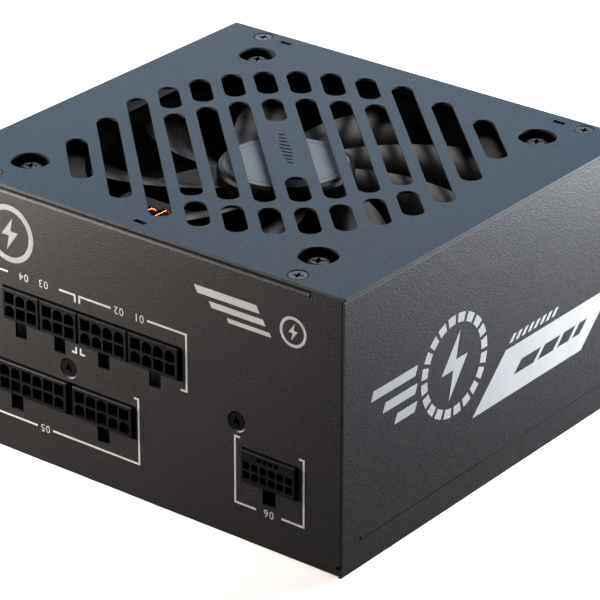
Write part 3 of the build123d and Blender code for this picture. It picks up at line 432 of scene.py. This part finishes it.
def sector(x, y, r, start, stop, steps=12):
    """Part of a disc cut off by a chord, as printed on a capacitor's top to mark one lead."""
    arc = [math.radians(start + (stop - start) * i / steps) for i in range(steps + 1)]
    return [[(x + r * math.cos(a), y + r * math.sin(a)) for a in arc]]


# ---- setting marks on a face as thin ink films -------------------------------------------
INK_T = 0.00003

# how a flat drawing turns onto each face, x to the right and y up as seen, and how far out the face is
FACES = {
    "front": (Matrix(((1, 0, 0), (0, 0, -1), (0, 1, 0))), -FACE_Y),
    "right": (Matrix(((0, 0, 1), (1, 0, 0), (0, 1, 0))), SIDE_X),
    "left": (Matrix(((0, 0, -1), (-1, 0, 0), (0, 1, 0))), SIDE_X),
    "top": (Matrix(((1, 0, 0), (0, 1, 0), (0, 0, 1))), LID_TOP),
}


def settle(name, curve, face, offset, material, body="case", place=Matrix()):
    """Turns a flat curve or text into a mesh offset metres in front of its face, riding on its body."""
    temp = bpy.data.objects.new(name + "_outline", curve)
    bpy.context.scene.collection.objects.link(temp)
    bpy.context.view_layer.update()
    mesh = bpy.data.meshes.new_from_object(temp.evaluated_get(bpy.context.evaluated_depsgraph_get()))
    bpy.data.objects.remove(temp)
    mesh.transform(place)
    turn, reach = FACES[face]
    normal = turn @ Vector((0, 0, 1))
    mesh.transform(Matrix.Translation(normal * (reach + offset + INK_T / 2)) @ turn.to_4x4())
    mesh.materials.clear()
    mesh.materials.append(material)
    made = bpy.data.objects.new(name, mesh)
    bpy.context.scene.collection.objects.link(made)
    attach(made, body)


def film(name, loops, face, offset, material, body="case"):
    """Solid ink film from closed loops."""
    curve = bpy.data.curves.new(name, "CURVE")
    curve.dimensions = "2D"
    curve.fill_mode = "BOTH"
    curve.extrude = INK_T / 2
    for loop in loops:
        spline = curve.splines.new("POLY")
        spline.points.add(len(loop) - 1)
        for point, (x, y) in zip(spline.points, loop):
            point.co = (x * MM, y * MM, 0, 1)
        spline.use_cyclic_u = True
    settle(name, curve, face, offset, material, body)


def numeral(name, text, x, y, size, face, material):
    """Port number set on a face, upside down because the box is stood on its base."""
    curve = bpy.data.curves.new(name, "FONT")
    curve.body = text
    curve.size = size * MM
    curve.align_x = "CENTER"
    curve.align_y = "CENTER"
    curve.space_character = 1.15
    curve.extrude = INK_T / 2
    half_turn = Matrix.Rotation(math.pi, 4, "Z")
    settle(name, curve, face, 0, material, place=Matrix.Translation((x * MM, y * MM, 0)) @ half_turn)


# ---- socket face: brackets round the sockets, port numbers, emblem, plate -----------------
LINE = 0.65                                 # width of the bracket lines
UPPER_TOP, UPPER_LOW = 58.7, 40.9           # heights of the brackets of the upper row of sockets
LOWER_TOP, LOWER_LOW = 32.7, 11.8           # and of the lower row
MID_RIGHT, MID_LEFT = -19.6, -21.3          # the two groups of the upper row end on either side of here
DROP_Z = 56.4                               # lower end of their short drops
FOOT_TOP, FOOT_Z = 42.2, 40.4               # the small corners under them
NUMBER_SIZE = 3.4

BRACKETS = (
    [(MID_RIGHT, DROP_Z), (MID_RIGHT, UPPER_TOP), (-7.8, UPPER_TOP)],
    [(5.6, UPPER_TOP), (19.75, UPPER_TOP), (19.75, UPPER_LOW), (17.6, UPPER_LOW)],
    [(MID_RIGHT, FOOT_TOP), (MID_RIGHT, FOOT_Z), (-18.0, FOOT_Z)],
    [(MID_LEFT, DROP_Z), (MID_LEFT, UPPER_TOP), (-27.2, UPPER_TOP)],
    [(-46.8, UPPER_TOP), (-53.5, UPPER_TOP), (-53.5, UPPER_LOW), (-51.4, UPPER_LOW)],
    [(MID_LEFT, FOOT_TOP), (MID_LEFT, FOOT_Z), (-22.9, FOOT_Z)],
    [(0.2, LOWER_TOP), (1.75, LOWER_TOP), (1.75, LOWER_LOW), (-31.2, LOWER_LOW)],
    [(-37.2, LOWER_LOW), (-69.3, LOWER_LOW), (-69.3, LOWER_TOP), (-67.8, LOWER_TOP)],
    [(38.9, LOWER_TOP), (37.0, LOWER_TOP), (37.0, LOWER_LOW), (44.4, LOWER_LOW)],
    [(59.6, LOWER_TOP), (61.25, LOWER_TOP), (61.25, LOWER_LOW), (53.5, LOWER_LOW)],
)
brackets = []
for points in BRACKETS:
    brackets += polyline(points, LINE)
film("print_socket_brackets", brackets, "front", 0, INK_LIGHT)

PORT_NUMBERS = (("01   02", -1.1, UPPER_TOP), ("03   04", -37.0, UPPER_TOP),
                ("05", -34.2, LOWER_LOW), ("06", 48.95, LOWER_LOW))
for i, (text, x, z) in enumerate(PORT_NUMBERS):
    numeral(f"print_port_number_{i + 1}", text, x, z, NUMBER_SIZE, "front", INK_LIGHT)

MARKS_Z = 71.0                              # middle of the marks above the sockets
EMBLEM_X = -45.6
PLATE_RING_X = 57.5
emblem = ring(EMBLEM_X, MARKS_Z, 9.0, 7.3) + bolt(EMBLEM_X, MARKS_Z, 10.5)
# painted shade: the emblem takes the dimmer copy of the ink where the left lamps fall strongly
film("print_front_emblem", emblem, "front", 0, INK_DIMMED)
plate = []
for x0, x1, z0, z1, lean in ((24.0, 46.0, 73.0, 75.3, -1.2), (29.0, 48.0, 69.8, 71.6, -0.9),
                             (35.0, 50.0, 67.0, 68.3, -0.6)):
    plate += bar(x0, x1, z0, z1, lean)
plate += ring(PLATE_RING_X, MARKS_Z, 4.6, 3.7) + bolt(PLATE_RING_X, MARKS_Z, 5.4)
film("print_front_plate", plate, "front", 0, INK_LIGHT)

# ---- plain side: ring of ticks round a flash, three bars, slanted band --------------------
RING_Y, RING_Z = -18.75, 46.0
RING_OUTER, RING_INNER = 15.9, 13.0
TICKS = 20
TICK_SHARE = 0.72                           # of each tick's pitch, the rest is gap
ARC_STEPS = 5


def arc_points(radius, angles):
    return [(RING_Y + radius * math.cos(a), RING_Z + radius * math.sin(a)) for a in angles]


side = []
for i in range(TICKS):
    start = 2 * math.pi * i / TICKS
    length = 2 * math.pi / TICKS * TICK_SHARE
    arc = [start + length * k / ARC_STEPS for k in range(ARC_STEPS + 1)]
    side.append(arc_points(RING_OUTER, arc) + arc_points(RING_INNER, reversed(arc)))
side += bolt(RING_Y, RING_Z, 21.0)
for i in range(3):
    bar_z = 50.2 - 5.6 * i
    side += bar(-58.0 + 5.5 * i, -37.5, bar_z, bar_z + 3.0, 1.2)
film("print_side_emblem", side, "right", 0, INK_DIMMED)

band = bar(-9.4, 46.0, 25.4, 40.8, 16.0)
for x0, x1 in ((11.0, 21.0), (23.0, 31.0), (33.0, 39.0), (41.0, 45.0)):
    band += bar(x0, x1, 31.2, 34.9, 3.8)
for i in range(8):
    tick_y = 8.2 + 3.05 * i
    band += bar(tick_y, tick_y + 1.7, 42.3, 44.6, 2.1)
film("print_side_band", band, "right", 0, INK_DIMMED)

# ---- ring on the fan's label, lead marks on the small capacitors --------------------------
hub_top = high("fan_hub_label")[2] - LID_TOP
film("print_hub_ring", ring(0, 0, 16.6, 16.2), "top", hub_top, INK_DARK, "fan_rotor")

can_front = FACE_Y - low("modular_capacitors")[1]
MARK_R = 2.65
blue_mark = sector(9.6, 37.6, MARK_R, 95, 265)
film("print_capacitor_blue", blue_mark, "front", can_front, INK_BLUE)
lead_marks = []
for x, z in ((-41.0, 37.9), (-30.0, 38.4), (-12.6, 37.9), (-12.8, 14.9), (26.0, 34.0), (33.0, 24.0)):
    lead_marks += sector(x, z, MARK_R, -150, -30)
film("print_capacitor_marks", lead_marks, "front", can_front, INK_DARK)

# ---- blank rating table on the label of the left side: frame, rows and columns only --------
LABEL_T = -low("rating_label")[0] - SIDE_X
RULE = 0.15                                 # half the width of a ruled line
COLUMNS = (-42.0, -22.0, -9.2, 3.6, 16.4, 29.2, 42.0)
rows = [26.0 + 6.0 * i for i in range(8)]
row_lines = []
for z in rows:
    row_lines += bar(COLUMNS[0], COLUMNS[-1], z - RULE, z + RULE)
film("print_rating_rows", row_lines, "left", LABEL_T, INK_DARK)
column_lines = []
for x in COLUMNS:
    for z0, z1 in zip(rows, rows[1:]):
        column_lines += bar(x - RULE, x + RULE, z0 + 0.2, z1 - 0.2)
film("print_rating_columns", column_lines, "left", LABEL_T, INK_DARK)


# ---- floor, light, camera ---------------------------------------------------------------
WARM = (1.0, 0.93, 0.88)
COOL = (0.87, 0.92, 1.0)
SMALL = (0.12, 0.12)
LEFT_CORNER = (-0.07, -0.07, 0.05)
FLOOR_HALF = 3.0


def area_light(name, place, aim, size, power, colour):
    data = bpy.data.lights.new(name, "AREA")
    data.shape = "RECTANGLE"
    data.size, data.size_y = size
    data.energy = power
    data.color = colour
    lamp = bpy.data.objects.new(name, data)
    lamp.location = place
    lamp.rotation_euler = (Vector(aim) - Vector(place)).to_track_quat("-Z", "Y").to_euler()
    lamp.visible_camera = False
    bpy.context.scene.collection.objects.link(lamp)


def lay_floor():
    """Large sheet of pale paper just under the case."""
    mesh = bpy.data.meshes.new("floor")
    corners = [(x * FLOOR_HALF, y * FLOOR_HALF, 0) for x, y in ((-1, -1), (1, -1), (1, 1), (-1, 1))]
    mesh.from_pydata(corners, [], [(0, 1, 2, 3)])
    floor = bpy.data.objects.new("floor", mesh)
    floor.location.z = -0.0002
    s = Shader("floor_paper")
    s.put("Base Color", s.blend(s.noise(0.004, 3.0), (0.86, 0.86, 0.86), (0.9, 0.9, 0.9)))
    s.put("Roughness", 0.9)
    mesh.materials.append(s.mat)
    floor.visible_glossy = False
    bpy.context.scene.collection.objects.link(floor)


def hang_lights():
    world = bpy.data.worlds.new("studio")
    world.use_nodes = True
    background = world.node_tree.nodes["Background"]
    background.inputs["Color"].default_value = (1, 1, 1, 1)
    background.inputs["Strength"].default_value = 0.08
    bpy.context.scene.world = world
    bpy.context.scene.view_settings.view_transform = "Standard"
    area_light("over_back", (-0.5, 1.1, 1.3), (0, 0, 0.05), (1.0, 0.8), 17.7, (1.0, 0.95, 0.92))
    area_light("back_left", (-0.5, 0.5, 0.25), (0, 0, 0.08), (0.5, 0.3), 1.5, (0.8, 0.88, 1.0))
    area_light("front_left_low", (-0.20, -0.22, 0.08), LEFT_CORNER, SMALL, 1.6, WARM)
    area_light("front_left", (-0.26, -0.16, 0.12), LEFT_CORNER, SMALL, 2.6, WARM)
    area_light("back_right", (0.20, 0.26, 0.10), (0.075, 0.06, 0.06), SMALL, 8.0, COOL)


def set_camera():
    data = bpy.data.cameras.new("camera")
    data.sensor_width = 36.0
    data.lens = 210.2
    data.clip_start = 0.05
    camera = bpy.data.objects.new("camera", data)
    camera.location = (0.5801, -0.7385, 0.4901)
    camera.rotation_euler = [math.radians(a) for a in (64.242, -0.119, 37.950)]
    bpy.context.scene.collection.objects.link(camera)
    bpy.context.scene.camera = camera


lay_floor()
hang_lights()
set_camera()
